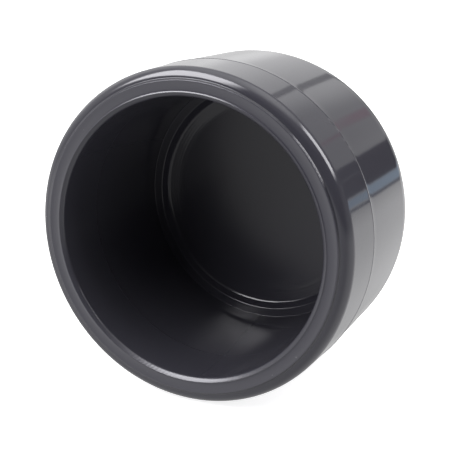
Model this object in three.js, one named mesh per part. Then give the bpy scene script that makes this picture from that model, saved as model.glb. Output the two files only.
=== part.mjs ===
import * as THREE from "three";

// Plain socket end cap for 50 mm PVC-U pressure pipe, cemented over the pipe's end.
// The real cap is a single injection moulding, so it is a single mesh here.
// Millimetres. The socket's axis is +Y: the open mouth is at y = 0 and the closed end lies towards +Y.
// The cap lies on its side, and +Z is up. The origin is the centre of the mouth.

// Socket, the space that takes the pipe
const mouthBore = 50.3;
const socketTaper = 0.2;
const socketDepth = 34.5;

// Pipe stop and the shallow recess behind it
const stopWidth = 1.75;
const rootFillet = 0.4;
const recessDepth = 1.4;
const recessRun = 0.9;
const bottomDish = 0.65;
const bottomRampRise = 0.45;
const bottomRampWidth = 2.7;

// Walls
const wall = 5.35;
const endThickness = 5.3;

// Outside: two mould halves meet at the seam, and the wall narrows away from it both ways
const seamFromMouth = 11.5;
const frontDraft = 0.4;
const rearDraft = 0.3;
const cornerRadius = 12;

// Mouth rim
const chamferWidth = 0.75;
const chamferDepth = 0.55;
const rimStep = 0.25;
const shoulderRadius = 2;
const stepMargin = 0.1;

// Fineness of the faceted solid
const segmentsAround = 96;
const bottomSteps = 4;
const recessSteps = 4;
const filletSteps = 3;
const shoulderSteps = 6;
const cornerSteps = 10;

const rootBore = mouthBore - socketTaper;
const bottomEdge = socketDepth + recessDepth;
const bottomCentre = bottomEdge + bottomRampRise + bottomDish;
const overallLength = bottomCentre + endThickness;
const seamOuter = mouthBore / 2 + wall;

// Points of a circular arc in the (radius, y) plane, ends included.
function arc(centreR, centreY, radius, fromDegrees, toDegrees, steps) {
  const points = [];
  for (let i = 0; i <= steps; i += 1) {
    const degrees = fromDegrees + ((toDegrees - fromDegrees) * i) / steps;
    const angle = THREE.MathUtils.degToRad(degrees);
    const r = centreR + radius * Math.cos(angle);
    const y = centreY + radius * Math.sin(angle);
    points.push(new THREE.Vector2(r, y));
  }
  return points;
}

// Bottom of the socket from the axis outwards: dished, then a slight ramp up to its edge and a rounded
// step up to the pipe stop.
function bottomProfile() {
  const stopInner = rootBore / 2 - stopWidth;
  const bottomRadius = stopInner - recessRun;
  const rampStart = bottomRadius - bottomRampWidth;
  const points = [];
  for (let i = 0; i <= bottomSteps; i += 1) {
    const share = i / bottomSteps;
    const y = bottomCentre - bottomDish * share * share;
    points.push(new THREE.Vector2(rampStart * share, y));
  }
  points.push(new THREE.Vector2(bottomRadius, bottomEdge));
  // a quarter ellipse, hollow towards the socket
  for (let i = 1; i <= recessSteps; i += 1) {
    const angle = (Math.PI / 2) * (i / recessSteps);
    const r = bottomRadius + recessRun * Math.sin(angle);
    const y = socketDepth + recessDepth * Math.cos(angle);
    points.push(new THREE.Vector2(r, y));
  }
  return points;
}

// Pipe stop, root fillet and tapered socket wall, out to the lead-in chamfer and the flat rim face.
function socketProfile(faceOuter) {
  const root = rootBore / 2;
  const mouth = mouthBore / 2;
  const fillet = arc(root - rootFillet, socketDepth - rootFillet, rootFillet, 90, 0, filletSteps);
  return [
    ...fillet,
    new THREE.Vector2(mouth, chamferDepth),
    new THREE.Vector2(mouth + chamferWidth, 0),
    new THREE.Vector2(faceOuter, 0),
  ];
}

// Outside wall from the rim step round to the centre of the closed end.
function outsideProfile(shoulderOuter, endOuter) {
  const shoulderR = shoulderOuter - shoulderRadius;
  const shoulderY = rimStep + shoulderRadius;
  const cornerR = endOuter - cornerRadius;
  const cornerY = overallLength - cornerRadius;
  return [
    ...arc(shoulderR, shoulderY, shoulderRadius, -90, 0, shoulderSteps),
    new THREE.Vector2(seamOuter, seamFromMouth),
    ...arc(cornerR, cornerY, cornerRadius, 0, 90, cornerSteps),
    new THREE.Vector2(0, overallLength),
  ];
}

function capMoulding(material) {
  const shoulderOuter = seamOuter - frontDraft;
  const endOuter = seamOuter - rearDraft;
  const faceOuter = shoulderOuter - shoulderRadius - stepMargin;
  const profile = [
    ...bottomProfile(),
    ...socketProfile(faceOuter),
    ...outsideProfile(shoulderOuter, endOuter),
  ];
  const mesh = new THREE.Mesh(new THREE.LatheGeometry(profile, segmentsAround), material);
  mesh.name = "cap_moulding";
  return mesh;
}

const greyPvc = new THREE.MeshStandardMaterial({
  name: "grey_pvc",
  color: 0x4b4a52,
  roughness: 0.22,
  metalness: 0,
});

const cap = new THREE.Group();
cap.name = "pipe_cap";
cap.add(capMoulding(greyPvc));

export default cap;
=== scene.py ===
import math

import bpy
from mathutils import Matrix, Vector


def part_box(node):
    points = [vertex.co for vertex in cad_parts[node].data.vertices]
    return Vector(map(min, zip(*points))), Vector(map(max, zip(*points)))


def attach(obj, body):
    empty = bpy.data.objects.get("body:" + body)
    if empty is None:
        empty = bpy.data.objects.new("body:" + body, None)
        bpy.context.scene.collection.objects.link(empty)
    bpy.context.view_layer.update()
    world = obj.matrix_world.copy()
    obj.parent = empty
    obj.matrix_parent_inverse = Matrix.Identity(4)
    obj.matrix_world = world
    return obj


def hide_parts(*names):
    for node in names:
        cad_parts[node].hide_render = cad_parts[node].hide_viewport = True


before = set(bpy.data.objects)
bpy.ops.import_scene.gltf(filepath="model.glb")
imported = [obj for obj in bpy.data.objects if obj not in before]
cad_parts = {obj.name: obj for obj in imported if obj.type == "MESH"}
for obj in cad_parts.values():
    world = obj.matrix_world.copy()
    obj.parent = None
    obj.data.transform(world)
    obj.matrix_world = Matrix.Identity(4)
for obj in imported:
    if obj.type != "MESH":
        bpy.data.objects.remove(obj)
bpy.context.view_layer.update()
nodeLow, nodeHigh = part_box("cap_moulding")
mm = 0.001


def deselectAll():
    if bpy.context.object and bpy.context.object.mode != "OBJECT":
        bpy.ops.object.mode_set(mode="OBJECT")
    bpy.ops.object.select_all(action="DESELECT")


def makeActive(piece):
    deselectAll()
    piece.select_set(True)
    bpy.context.view_layer.objects.active = piece


def applyModifier(piece, name):
    makeActive(piece)
    bpy.ops.object.modifier_apply(modifier=name)


def ringRadius(co):
    return math.hypot(co.x, co.z)


# the cap is one moulding, turned from a drawn section; the outside radius and the length come from the frame
capSizes = {
    "steps": 288,
    "mergeWithin": 0.002 * mm,
    "mouthRadius": 25.15 * mm,
    "rootRadius": 25.05 * mm,
    "socketDepth": 34.5 * mm,
    "stopWidth": 1.75 * mm,
    "recessDepth": 1.4 * mm,
    "recessRun": 0.9 * mm,
    "bottomDish": 0.65 * mm,
    "bottomRampRise": 0.45 * mm,
    "bottomRampWidth": 2.7 * mm,
    "seamFromMouth": 11.5 * mm,
    "frontDraft": 0.4 * mm,
    "rearDraft": 0.3 * mm,
    "shoulderRadius": 2.0 * mm,
    "rimStep": 0.25 * mm,
    "stepMargin": 0.1 * mm,
    "chamferWidth": 0.75 * mm,
    "chamferDepth": 0.55 * mm,
    "rimSink": 0.13 * mm,        # how far the rim face has sunk between its two edges
    "beadWidth": 0.22 * mm,      # small raised bead left where the chamfer meets the face
    "gateRadius": 3.4 * mm,
    "gateDepth": 0.3 * mm,
    "sprueRadius": 1.3 * mm,
    "sprueTopRadius": 1.04 * mm,
    "sprueTopSink": 0.09 * mm,   # the broken sprue ends this far below the closed end
    "sprueMiddleSink": 0.075 * mm,
    "flashWidth": 0.14 * mm,
    "flashHeight": 0.05 * mm,
    "flashFoot": 0.05 * mm,      # how far the wall swells towards the seam
    "flashReach": 2.4 * mm,
}

# ring edges that get rounded: radius of the rounding and its segments
roundings = {
    "corner": (12.0 * mm, 24),
    "shoulder": (2.0 * mm, 12),
    "rimOuter": (0.13 * mm, 4),
    "stepFoot": (0.05 * mm, 2),
    "rimBead": (0.05 * mm, 3),
    "beadFoot": (0.06 * mm, 2),
    "chamferInner": (0.32 * mm, 6),
    "root": (0.12 * mm, 3),
    "stopInner": (0.14 * mm, 4),
    "recessFoot": (0.4 * mm, 5),
    "rampStart": (0.6 * mm, 4),
    "gateEdge": (0.12 * mm, 3),
}


def sectionPoints():
    # named corners of the section, from the bottom of the socket out to the closed end
    s = capSizes
    seamOuter = nodeHigh.x
    length = nodeHigh.y
    stopInner = s["rootRadius"] - s["stopWidth"]
    bottomRadius = stopInner - s["recessRun"]
    bottomEdge = s["socketDepth"] + s["recessDepth"]
    rampStart = bottomRadius - s["bottomRampWidth"]
    rampTop = bottomEdge + s["bottomRampRise"]
    shoulderOuter = seamOuter - s["frontDraft"]
    faceOuter = shoulderOuter - s["shoulderRadius"] - s["stepMargin"]
    bead = s["mouthRadius"] + s["chamferWidth"]
    beadFoot = bead + s["beadWidth"]
    endOuter = seamOuter - s["rearDraft"]
    seam = s["seamFromMouth"]
    half = s["flashWidth"] / 2
    wallTop = seamOuter - s["flashHeight"]

    points = [("bottomCentre", 0, rampTop + s["bottomDish"])]
    dishRings = 6
    for i in range(1, dishRings):
        share = i / dishRings
        y = rampTop + s["bottomDish"] * (1 - share * share)
        points.append((f"dish{i}", rampStart * share, y))
    points += [
        ("rampStart", rampStart, rampTop),
        ("recessFoot", bottomRadius, bottomEdge),
        ("stopInner", stopInner, s["socketDepth"]),
        ("root", s["rootRadius"], s["socketDepth"]),
        ("chamferInner", s["mouthRadius"], s["chamferDepth"]),
        ("rimBead", bead, 0),
        ("beadFoot", beadFoot, s["rimSink"]),
    ]
    faceRings = 6
    for i in range(1, faceRings):
        share = i / faceRings
        r = beadFoot + (faceOuter - beadFoot) * share
        points.append((f"face{i}", r, s["rimSink"] * (1 - share * share)))
    points += [
        ("rimOuter", faceOuter, 0),
        ("stepFoot", faceOuter + s["stepMargin"] / 2, s["rimStep"]),
        ("shoulder", shoulderOuter, s["rimStep"]),
        ("flashFront", wallTop, seam - half),
        ("flashTop", seamOuter, seam),
        ("flashBack", wallTop, seam + half),
    ]
    # the wall swells a little towards the seam on its back half
    swellRings = 5
    for i in range(1, swellRings):
        share = i / swellRings
        y = seam + half + s["flashReach"] * share
        r = wallTop - s["flashFoot"] * (1 - (1 - share) ** 2)
        points.append((f"swell{i}", r, y))
    points += [
        ("corner", endOuter, length),
        ("gateEdge", s["gateRadius"], length),
        ("gateFloor", s["gateRadius"] - s["gateDepth"], length - s["gateDepth"]),
        ("sprueFoot", s["sprueRadius"], length - s["gateDepth"]),
        ("sprueTop", s["sprueTopRadius"], length - s["sprueTopSink"]),
        ("endCentre", 0, length - s["sprueMiddleSink"]),
    ]
    return points


def drawSection(points):
    # one vertex on the axis, extruded from corner to corner
    deselectAll()
    bpy.ops.mesh.primitive_plane_add(size=mm, location=(0, 0, 0))
    piece = bpy.context.object
    bpy.ops.object.mode_set(mode="EDIT")
    bpy.ops.mesh.select_all(action="SELECT")
    bpy.ops.mesh.merge(type="CENTER")
    name, r, y = points[0]
    bpy.ops.transform.translate(value=(r, y, 0))
    for name, nextR, nextY in points[1:]:
        bpy.ops.mesh.extrude_vertices_move(
            TRANSFORM_OT_translate={"value": (nextR - r, nextY - y, 0)}
        )
        r, y = nextR, nextY
    return piece


def spinSection(piece):
    bpy.ops.mesh.select_all(action="SELECT")
    bpy.ops.mesh.spin(
        steps=capSizes["steps"], angle=math.tau, center=(0, 0, 0), axis=(0, 1, 0)
    )
    bpy.ops.mesh.select_all(action="SELECT")
    bpy.ops.mesh.remove_doubles(threshold=capSizes["mergeWithin"])
    bpy.ops.mesh.normals_make_consistent(inside=False)
    bpy.ops.object.mode_set(mode="OBJECT")


def selectRing(piece, radius, y):
    # the edges that lie round the axis at this radius and depth
    bpy.ops.object.mode_set(mode="OBJECT")
    mesh = piece.data
    for part in (mesh.polygons, mesh.edges, mesh.vertices):
        part.foreach_set("select", [False] * len(part))
    near = 0.004 * mm
    on = [abs(ringRadius(v.co) - radius) < near and abs(v.co.y - y) < near for v in mesh.vertices]
    for edge in mesh.edges:
        a, b = edge.vertices
        edge.select = on[a] and on[b]
    bpy.ops.object.mode_set(mode="EDIT")


def roundRing(piece, radius, y, size, segments):
    selectRing(piece, radius, y)
    bpy.ops.mesh.bevel(
        offset_type="OFFSET", offset=size, segments=segments, profile=0.5, affect="EDGES",
        clamp_overlap=False,
    )
    bpy.ops.object.mode_set(mode="OBJECT")


def makeCap():
    points = sectionPoints()
    piece = drawSection(points)
    spinSection(piece)
    piece.name = "capMoulding"
    piece.data.name = "capMoulding"
    bpy.ops.object.mode_set(mode="EDIT")
    bpy.ops.mesh.select_mode(type="EDGE")
    for name, r, y in points:
        if name in roundings:
            size, segments = roundings[name]
            # a rounding between nearly square faces: the offset is close to its radius
            roundRing(piece, r, y, size, segments)
    bpy.ops.object.mode_set(mode="OBJECT")
    makeActive(piece)
    bpy.ops.object.shade_smooth()
    weighted = piece.modifiers.new("even shading", "WEIGHTED_NORMAL")
    weighted.weight = 100
    weighted.keep_sharp = True
    applyModifier(piece, weighted.name)
    print("cap moulding:", len(piece.data.polygons), "faces")
    return piece


# dark grey PVC: glossy outside, a little softer in the socket and on its bottom, turned at the chamfer;
# pattern sizes are per metre, so a larger number is a finer pattern
pvcFinish = {
    "grey": (0.0585, 0.0575, 0.071),
    "flowGrey": (0.053, 0.0515, 0.065),
    "flowSize": 60,              # slow changes of shade where the plastic flowed
    "rimGrey": (0.063, 0.0615, 0.078),      # the rim face is given a paler grey than the rest
    "nickGrey": (0.16, 0.155, 0.17),
    "nickSize": 420,
    "nickWidth": 0.11,           # share of the space between nicks
    "nickPatches": 170,          # size of the patches that have nicks
    "nickRarity": 0.6,
    "nickStrength": 0.6,
    "gloss": 0.09,
    "socketGloss": 0.14,
    "bottomGloss": 0.21,
    "rampGloss": 0.11,
    "rimGloss": 0.2,
    "turnedGloss": 0.26,
    "cloudSize": 35,
    "cloudDepth": 0.05,          # how far the gloss wanders from place to place
    "ior": 1.53,
    "shine": 0.5,
    "socketShine": 0.38,
    "bottomShine": 0.35,
}

# relief of the skin, each with its height and strength
pvcRelief = {
    "waves": {"size": 90, "height": 0.012 * mm, "strength": 1.0},
    "grain": {"size": 2600, "height": 0.004 * mm, "strength": 0.8, "offRim": 0.2},
    "toolMarks": {"count": 214, "slant": 5.2 / mm, "height": 0.006 * mm, "strength": 0.45},
    "swirl": {"pitch": 0.55 * mm, "patchSize": 160, "height": 0.004 * mm, "strength": 0.8},
    "flash": {"size": 1300, "height": 0.09 * mm, "strength": 0.9},
}


def makeNode(tree, kind, **values):
    node = tree.nodes.new(kind)
    for name, value in values.items():
        setattr(node, name, value)
    return node


def spreadNodes(tree):
    # columns of nodes in the order they were made, so that the tree can be read in the editor
    columnHeight = 8
    for i, node in enumerate(tree.nodes):
        node.location = (240 * (i // columnHeight), -280 * (i % columnHeight))


def mathNode(tree, operation, first, second=None, third=None):
    node = makeNode(tree, "ShaderNodeMath", operation=operation)
    for socket, value in zip(node.inputs, (first, second, third)):
        if value is None:
            continue
        if isinstance(value, (int, float)):
            socket.default_value = value
        else:
            tree.links.new(value, socket)
    return node.outputs["Value"]


def smoothStep(tree, source, start, end, first, last):
    # first up to start, last from end on, eased between them
    step = makeNode(tree, "ShaderNodeMapRange", interpolation_type="SMOOTHSTEP")
    step.inputs["From Min"].default_value = start
    step.inputs["From Max"].default_value = end
    step.inputs["To Min"].default_value = first
    step.inputs["To Max"].default_value = last
    tree.links.new(source, step.inputs["Value"])
    return step.outputs["Result"]


def between(tree, source, low, high, blur):
    # 1 between low and high, fading to 0 over blur on both sides
    rise = smoothStep(tree, source, low - blur, low + blur, 0, 1)
    fall = smoothStep(tree, source, high - blur, high + blur, 1, 0)
    return mathNode(tree, "MULTIPLY", rise, fall)


def blendColour(tree, factor, first, second):
    mix = makeNode(tree, "ShaderNodeMix", data_type="RGBA")
    tree.links.new(factor, mix.inputs["Factor"])
    for socket, colour in ((mix.inputs["A"], first), (mix.inputs["B"], second)):
        if isinstance(colour, tuple):
            socket.default_value = (*colour, 1)
        else:
            tree.links.new(colour, socket)
    return mix.outputs["Result"]


def blendValue(tree, factor, first, second):
    mix = makeNode(tree, "ShaderNodeMix", data_type="FLOAT")
    tree.links.new(factor, mix.inputs["Factor"])
    for socket, value in ((mix.inputs["A"], first), (mix.inputs["B"], second)):
        if isinstance(value, (int, float)):
            socket.default_value = value
        else:
            tree.links.new(value, socket)
    return mix.outputs["Result"]


def noise(tree, vector, scale, detail):
    node = makeNode(tree, "ShaderNodeTexNoise")
    node.inputs["Scale"].default_value = scale
    node.inputs["Detail"].default_value = detail
    tree.links.new(vector, node.inputs["Vector"])
    return node.outputs["Fac"]


def bump(tree, pattern, relief, under=None):
    node = makeNode(tree, "ShaderNodeBump")
    node.inputs["Distance"].default_value = relief["height"]
    node.inputs["Strength"].default_value = relief["strength"]
    tree.links.new(pattern, node.inputs["Height"])
    if under is not None:
        tree.links.new(under, node.inputs["Normal"])
    return node.outputs["Normal"]


def surfacePlace(tree):
    # the point itself, and its radius, depth and turn about the socket's axis
    coords = makeNode(tree, "ShaderNodeTexCoord")
    point = coords.outputs["Object"]
    split = makeNode(tree, "ShaderNodeSeparateXYZ")
    tree.links.new(point, split.inputs["Vector"])
    across, along, upward = split.outputs["X"], split.outputs["Y"], split.outputs["Z"]
    flat = makeNode(tree, "ShaderNodeCombineXYZ")
    tree.links.new(across, flat.inputs["X"])
    tree.links.new(upward, flat.inputs["Z"])
    length = makeNode(tree, "ShaderNodeVectorMath", operation="LENGTH")
    tree.links.new(flat.outputs["Vector"], length.inputs[0])
    turn = mathNode(tree, "ARCTAN2", upward, across)
    return {"point": point, "radius": length.outputs["Value"], "depth": along, "turn": turn}


def partMasks(tree, where):
    # 1 on the named part of the surface and 0 elsewhere
    s = capSizes
    radius, depth = where["radius"], where["depth"]
    mouth = s["mouthRadius"]
    bead = mouth + s["chamferWidth"]
    stepRadius = nodeHigh.x - s["frontDraft"] - s["shoulderRadius"]
    rampStart = s["rootRadius"] - s["stopWidth"] - s["recessRun"] - s["bottomRampWidth"]
    outThere = -mm               # below any depth or radius that the cap has
    deepest = s["socketDepth"] + 3 * mm
    # low, high and blur of the part's depth, then of its radius
    ranges = {
        "rimFace": ((outThere, 0.14 * mm, 0.02 * mm), (bead, stepRadius, 0.04 * mm)),
        "chamfer": ((outThere, s["chamferDepth"], 0.03 * mm), (mouth - 0.05 * mm, bead, 0.03 * mm)),
        "socket": ((s["chamferDepth"], deepest, 0.05 * mm), (outThere, mouth, 0.05 * mm)),
    }
    masks = {}
    for name, (depths, radii) in ranges.items():
        inDepth = between(tree, depth, *depths)
        inRadius = between(tree, radius, *radii)
        masks[name] = mathNode(tree, "MULTIPLY", inDepth, inRadius)
    pastStop = between(tree, depth, s["socketDepth"] + 0.6 * mm, deepest, 0.2 * mm)
    masks["bottom"] = mathNode(tree, "MULTIPLY", masks["socket"], pastStop)
    outerBottom = between(tree, radius, rampStart, mouth, 0.1 * mm)
    masks["ramp"] = mathNode(tree, "MULTIPLY", masks["bottom"], outerBottom)
    # a slice right through the cap at the seam's depth, so the socket wall has it too
    seam = s["seamFromMouth"]
    masks["seam"] = between(tree, depth, seam - 0.1 * mm, seam + 0.1 * mm, 0.08 * mm)
    return masks


def pvcTint(tree, where, masks):
    # slow changes of shade, a paler rim face and small pale nicks on it
    f = pvcFinish
    flow = noise(tree, where["point"], f["flowSize"], 3)
    tint = blendColour(tree, flow, f["flowGrey"], f["grey"])
    tint = blendColour(tree, masks["rimFace"], tint, f["rimGrey"])
    cells = makeNode(tree, "ShaderNodeTexVoronoi")
    cells.inputs["Scale"].default_value = f["nickSize"]
    tree.links.new(where["point"], cells.inputs["Vector"])
    spot = mathNode(tree, "LESS_THAN", cells.outputs["Distance"], f["nickWidth"])
    patches = noise(tree, where["point"], f["nickPatches"], 1)
    rare = mathNode(tree, "GREATER_THAN", patches, f["nickRarity"])
    nick = mathNode(tree, "MULTIPLY", mathNode(tree, "MULTIPLY", spot, rare), masks["rimFace"])
    return blendColour(tree, mathNode(tree, "MULTIPLY", nick, f["nickStrength"]), tint, f["nickGrey"])


def pvcGloss(tree, where, masks):
    # by part, and broken up a little
    f = pvcFinish
    gloss = blendValue(tree, masks["socket"], f["gloss"], f["socketGloss"])
    gloss = blendValue(tree, masks["bottom"], gloss, f["bottomGloss"])
    gloss = blendValue(tree, masks["ramp"], gloss, f["rampGloss"])
    gloss = blendValue(tree, masks["rimFace"], gloss, f["rimGloss"])
    gloss = blendValue(tree, masks["chamfer"], gloss, f["turnedGloss"])
    clouds = noise(tree, where["point"], f["cloudSize"], 2)
    cloudy = mathNode(tree, "MULTIPLY_ADD", clouds, f["cloudDepth"], -f["cloudDepth"] / 2)
    return mathNode(tree, "ADD", gloss, cloudy)


def pvcShine(tree, masks):
    f = pvcFinish
    shine = blendValue(tree, masks["socket"], f["shine"], f["socketShine"])
    return blendValue(tree, masks["bottom"], shine, f["bottomShine"])


def pvcNormal(tree, where, masks):
    r = pvcRelief
    point, radius = where["point"], where["radius"]
    # slow waves of the moulded skin, then a fine grain that is strongest on the rim face
    normal = bump(tree, noise(tree, point, r["waves"]["size"], 2), r["waves"])
    offRim = r["grain"]["offRim"]
    share = mathNode(tree, "MULTIPLY_ADD", masks["rimFace"], 1 - offRim, offRim)
    grain = mathNode(tree, "MULTIPLY", noise(tree, point, r["grain"]["size"], 2), share)
    normal = bump(tree, grain, r["grain"], under=normal)
    # slanting tool marks round the chamfer
    around = mathNode(tree, "MULTIPLY", where["turn"], r["toolMarks"]["count"])
    slant = mathNode(tree, "MULTIPLY_ADD", radius, r["toolMarks"]["slant"], around)
    marks = mathNode(tree, "MULTIPLY", mathNode(tree, "SINE", slant), masks["chamfer"])
    normal = bump(tree, marks, r["toolMarks"], under=normal)
    # rings left on the socket's bottom, in patches
    turns = mathNode(tree, "MULTIPLY", radius, math.tau / r["swirl"]["pitch"])
    patchy = mathNode(tree, "MULTIPLY", masks["bottom"], noise(tree, point, r["swirl"]["patchSize"], 2))
    swirl = mathNode(tree, "MULTIPLY", mathNode(tree, "SINE", turns), patchy)
    normal = bump(tree, swirl, r["swirl"], under=normal)
    # ragged flash at the seam
    ragged = mathNode(tree, "MULTIPLY", noise(tree, point, r["flash"]["size"], 2), masks["seam"])
    return bump(tree, ragged, r["flash"], under=normal)


def greyPvc():
    material = bpy.data.materials.new("greyPvc")
    material.use_nodes = True
    tree = material.node_tree
    tree.nodes.clear()
    output = makeNode(tree, "ShaderNodeOutputMaterial")
    shader = makeNode(tree, "ShaderNodeBsdfPrincipled")
    tree.links.new(shader.outputs["BSDF"], output.inputs["Surface"])
    where = surfacePlace(tree)
    masks = partMasks(tree, where)
    shader.inputs["IOR"].default_value = pvcFinish["ior"]
    tree.links.new(pvcTint(tree, where, masks), shader.inputs["Base Color"])
    tree.links.new(pvcGloss(tree, where, masks), shader.inputs["Roughness"])
    tree.links.new(pvcShine(tree, masks), shader.inputs["Specular IOR Level"])
    tree.links.new(pvcNormal(tree, where, masks), shader.inputs["Normal"])
    spreadNodes(tree)
    return material


# angles in degrees, distances in metres; aim is where the lens points, from the middle of the mouth
cameraSetup = {
    "azimuth": 25.2,
    "elevation": 15.3,
    "distance": 173.0 * mm,
    "aimRight": 7.2 * mm,
    "aimUp": 2.8 * mm,
    "lens": 79.65,
    "nearest": 5 * mm,
    "farthest": 20,
}


def placeCamera():
    c = cameraSetup
    a = math.radians(c["azimuth"])
    e = math.radians(c["elevation"])
    right = Vector((math.cos(a), math.sin(a), 0))
    forward = Vector((-math.sin(a) * math.cos(e), math.cos(a) * math.cos(e), -math.sin(e)))
    up = right.cross(forward)
    aim = right * c["aimRight"] + up * c["aimUp"]
    bpy.ops.object.camera_add(location=aim - forward * c["distance"])
    camera = bpy.context.object
    camera.rotation_euler = forward.to_track_quat("-Z", "Y").to_euler()
    camera.data.lens = c["lens"]
    camera.data.clip_start = c["nearest"]
    camera.data.clip_end = c["farthest"]
    bpy.context.scene.camera = camera


def emitting(name, colour, glow, fade):
    # a glowing sheet that fades out towards its edges
    material = bpy.data.materials.new(name)
    material.use_nodes = True
    tree = material.node_tree
    tree.nodes.clear()
    output = makeNode(tree, "ShaderNodeOutputMaterial")
    mix = makeNode(tree, "ShaderNodeMixShader")
    clear = makeNode(tree, "ShaderNodeBsdfTransparent")
    light = makeNode(tree, "ShaderNodeEmission")
    light.inputs["Color"].default_value = (*colour, 1)
    light.inputs["Strength"].default_value = glow
    coords = makeNode(tree, "ShaderNodeTexCoord")
    split = makeNode(tree, "ShaderNodeSeparateXYZ")
    tree.links.new(coords.outputs["Object"], split.inputs["Vector"])
    edge = 0.5 - fade / 2
    wide = between(tree, split.outputs["X"], -edge, edge, fade / 2)
    high = between(tree, split.outputs["Y"], -edge, edge, fade / 2)
    tree.links.new(mathNode(tree, "MULTIPLY", wide, high), mix.inputs["Fac"])
    tree.links.new(clear.outputs["BSDF"], mix.inputs[1])
    tree.links.new(light.outputs["Emission"], mix.inputs[2])
    tree.links.new(mix.outputs["Shader"], output.inputs["Surface"])
    spreadNodes(tree)
    return material


# floor of pale paper that glows a little itself, so that it stays white under the cap
floorSetup = {
    "width": 12,
    "paper": (0.85, 0.85, 0.85),
    "glow": 0.8,
}


def palePaper():
    material = bpy.data.materials.new("palePaper")
    material.use_nodes = True
    tree = material.node_tree
    tree.nodes.clear()
    output = makeNode(tree, "ShaderNodeOutputMaterial")
    both = makeNode(tree, "ShaderNodeAddShader")
    paper = makeNode(tree, "ShaderNodeBsdfDiffuse")
    paper.inputs["Color"].default_value = (*floorSetup["paper"], 1)
    glow = makeNode(tree, "ShaderNodeEmission")
    glow.inputs["Strength"].default_value = floorSetup["glow"]
    tree.links.new(paper.outputs["BSDF"], both.inputs[0])
    tree.links.new(glow.outputs["Emission"], both.inputs[1])
    tree.links.new(both.outputs["Shader"], output.inputs["Surface"])
    spreadNodes(tree)
    return material


def paleFloor():
    deselectAll()
    bpy.ops.mesh.primitive_plane_add(size=floorSetup["width"], location=(0, 0, nodeLow.z))
    floor = bpy.context.object
    floor.name = "paleFloor"
    floor.data.materials.append(palePaper())
    floor.visible_glossy = False
    floor.visible_diffuse = False
    floor.visible_shadow = False


# soft patches of glow round the cap, which only its gloss and its shade take up: the direction of each
# patch's middle (degrees from straight behind towards the right, and up), how far it is even, where it
# ends, and its glow; a glow below nothing is shade
roomGlow = {
    "ceiling": {"side": 50, "up": 84, "even": 8, "end": 42, "glow": 1.9},
    "ceilingRight": {"side": 60, "up": 70, "even": 5, "end": 28, "glow": 0.68},
    "leftWall": {"side": -100, "up": 35, "even": 15, "end": 60, "glow": 1.05},
    "backLeft": {"side": -50, "up": 28, "even": 10, "end": 42, "glow": 0.83},
    "backPanel": {"side": -14, "up": 24, "even": 10, "end": 22, "glow": 0.67},
    "backWall": {"side": 10, "up": 35, "even": 5, "end": 50, "glow": 0.5},
    "backLow": {"side": 18, "up": 8, "even": 4, "end": 12, "glow": -0.15},
    "backHigh": {"side": 13, "up": 25, "even": 6, "end": 18, "glow": 0.1},
    "frontRightWall": {"side": 150, "up": 60, "even": 5, "end": 40, "glow": 0.41},
    "tableLeft": {"side": -125, "up": -20, "even": 10, "end": 60, "glow": 0.15},
    "tableFrontLeft": {"side": -136, "up": -18, "even": 4, "end": 20, "glow": 1.3},
    "tableRight": {"side": 75, "up": -30, "even": 10, "end": 60, "glow": 0.56},
    "tableBack": {"side": 23, "up": -13, "even": 8, "end": 33, "glow": 0.6},
    "tableNear": {"side": -25, "up": -20, "even": 3, "end": 14, "glow": -0.3},
    "limbGlow": {"side": -27, "up": 2, "even": 4, "end": 16, "glow": 0.8},
    "frontDark": {"side": 140, "up": 0, "even": 10, "end": 50, "glow": -0.22},
}
# table below and wall above, with the height of a direction at which one turns into the other
roomBase = {
    "table": 0.84,
    "wall": 0.04,
    "tableUpTo": -0.17,
    "wallFrom": 0.02,
    "grey": (0.8, 0.8, 0.8),
    "seenByCamera": 1.3,
}


def towards(angles):
    # unit vector of a direction given as side and up
    side = math.radians(angles["side"])
    up = math.radians(angles["up"])
    return Vector((math.sin(side) * math.cos(up), math.cos(side) * math.cos(up), math.sin(up)))


def studioRoom():
    world = bpy.data.worlds.new("studio")
    bpy.context.scene.world = world
    world.use_nodes = True
    tree = world.node_tree
    tree.nodes.clear()
    output = makeNode(tree, "ShaderNodeOutputWorld")
    background = makeNode(tree, "ShaderNodeBackground")
    background.inputs["Color"].default_value = (*roomBase["grey"], 1)
    tree.links.new(background.outputs["Background"], output.inputs["Surface"])
    coords = makeNode(tree, "ShaderNodeTexCoord")
    direction = coords.outputs["Generated"]
    split = makeNode(tree, "ShaderNodeSeparateXYZ")
    tree.links.new(direction, split.inputs["Vector"])
    total = smoothStep(
        tree, split.outputs["Z"], roomBase["tableUpTo"], roomBase["wallFrom"],
        roomBase["table"], roomBase["wall"],
    )
    for name, patch in roomGlow.items():
        toPatch = makeNode(tree, "ShaderNodeVectorMath", operation="DOT_PRODUCT")
        toPatch.label = name
        toPatch.inputs[1].default_value = towards(patch)
        tree.links.new(direction, toPatch.inputs[0])
        outside = math.cos(math.radians(patch["end"]))
        inside = math.cos(math.radians(patch["even"]))
        glow = smoothStep(tree, toPatch.outputs["Value"], outside, inside, 0, patch["glow"])
        total = mathNode(tree, "ADD", total, glow)
    total = mathNode(tree, "MAXIMUM", total, 0)
    # the camera itself sees plain white past the floor's edge
    path = makeNode(tree, "ShaderNodeLightPath")
    seen = blendValue(tree, path.outputs["Is Camera Ray"], total, roomBase["seenByCamera"])
    tree.links.new(seen, background.inputs["Strength"])
    spreadNodes(tree)


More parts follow.
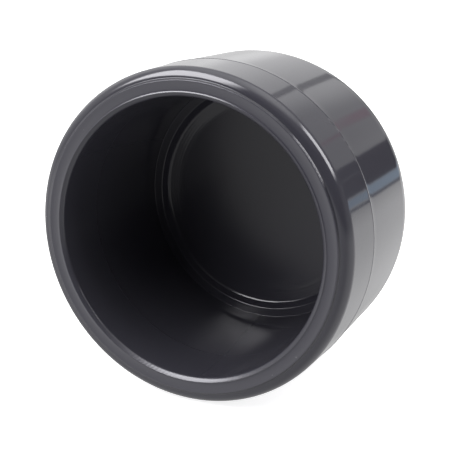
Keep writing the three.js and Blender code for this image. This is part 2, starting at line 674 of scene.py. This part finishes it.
# soft boxes: direction (degrees from straight behind towards the right, and up), distance, width and
# height in metres, colour, and two brightnesses: in the gloss, and as light on the plastic
softBoxes = {
    "overheadBox": {"side": -145, "up": 43, "away": 0.6, "size": (0.5, 0.54), "inGloss": 12.5,
                    "onPlastic": 2.2, "colour": (0.97, 0.96, 1.0)},
    "rightBox": {"side": 81, "up": 39, "away": 0.6, "size": (0.36, 0.36), "inGloss": 9.5,
                 "onPlastic": 3.2, "colour": (0.98, 0.97, 1.0)},
}
boxFade = 0.22

# upright cards behind the cap that only its gloss sees: middle, width and height in metres, lean in
# degrees, share of its height that fades out at each edge, colour and glow
glossCards = {
    "blackFlagLow": {"place": (0.31, 0.5, 0.06), "size": (0.5, 0.06), "lean": 10.5, "fade": 0.05,
                     "colour": (1, 1, 1), "glow": 0.03},
    "blackFlagHigh": {"place": (0.31, 0.5, 0.1155), "size": (0.5, 0.06), "lean": 22.8, "fade": 0.12,
                      "colour": (1, 1, 1), "glow": 0.03},
    "blueEdge": {"place": (0.31, 0.495, 0.0116), "size": (0.5, 0.03), "lean": 7.7, "fade": 0.2,
                 "colour": (0.62, 0.8, 1.0), "glow": 0.86},
    "darkLine": {"place": (0.31, 0.494, -0.0135), "size": (0.5, 0.012), "lean": 3.7, "fade": 0.3,
                 "colour": (0.7, 0.8, 1.0), "glow": 0.15},
    "thinGap": {"place": (-0.008, 0.49, 0.235), "size": (0.022, 0.3), "lean": -14, "fade": 0.02,
                "colour": (1, 1, 1), "glow": 0.35},
    "pinkWide": {"place": (0.109, 0.49, 0.149), "size": (0.05, 0.036), "lean": 55, "fade": 0.3,
                 "colour": (1.0, 0.7, 0.78), "glow": 0.45},
    "pinkThin": {"place": (0.19, 0.49, 0.188), "size": (0.07, 0.013), "lean": 27, "fade": 0.25,
                 "colour": (1.0, 0.7, 0.78), "glow": 0.46},
}


def hangCard(name, place, size, turn, material):
    deselectAll()
    bpy.ops.mesh.primitive_plane_add(size=1, location=place)
    sheet = bpy.context.object
    sheet.name = name
    sheet.scale = (*size, 1)
    sheet.rotation_euler = turn
    sheet.data.materials.append(material)
    sheet.visible_camera = False
    sheet.visible_diffuse = False
    sheet.visible_shadow = False


def hangLights():
    middle = Vector((0, nodeHigh.y / 2, 0))
    for name, box in softBoxes.items():
        toBox = towards(box)
        place = middle + toBox * box["away"]
        turn = (-toBox).to_track_quat("-Z", "Y").to_euler()
        hangCard(name, place, box["size"], turn, emitting(name, box["colour"], box["inGloss"], boxFade))
        deselectAll()
        bpy.ops.object.light_add(type="AREA", location=place)
        light = bpy.context.object
        light.name = name + "Shade"
        light.data.shape = "RECTANGLE"
        light.data.size, light.data.size_y = box["size"]
        light.data.energy = box["onPlastic"] * math.pi * light.data.size * light.data.size_y
        light.data.color = box["colour"]
        light.rotation_euler = turn
        light.visible_camera = False
        light.visible_glossy = False
    for name, card in glossCards.items():
        turn = (math.radians(90), math.radians(-card["lean"]), 0)
        material = emitting(name, card["colour"], card["glow"], card["fade"])
        hangCard(name, card["place"], card["size"], turn, material)


cap = makeCap()
cap.data.materials.clear()
cap.data.materials.append(greyPvc())
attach(cap, "root")
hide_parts("cap_moulding")
print("finish: grey PVC on the cap")

placeCamera()
paleFloor()
studioRoom()
hangLights()
bpy.context.scene.view_settings.view_transform = "Standard"
print("camera, floor and lights are up")
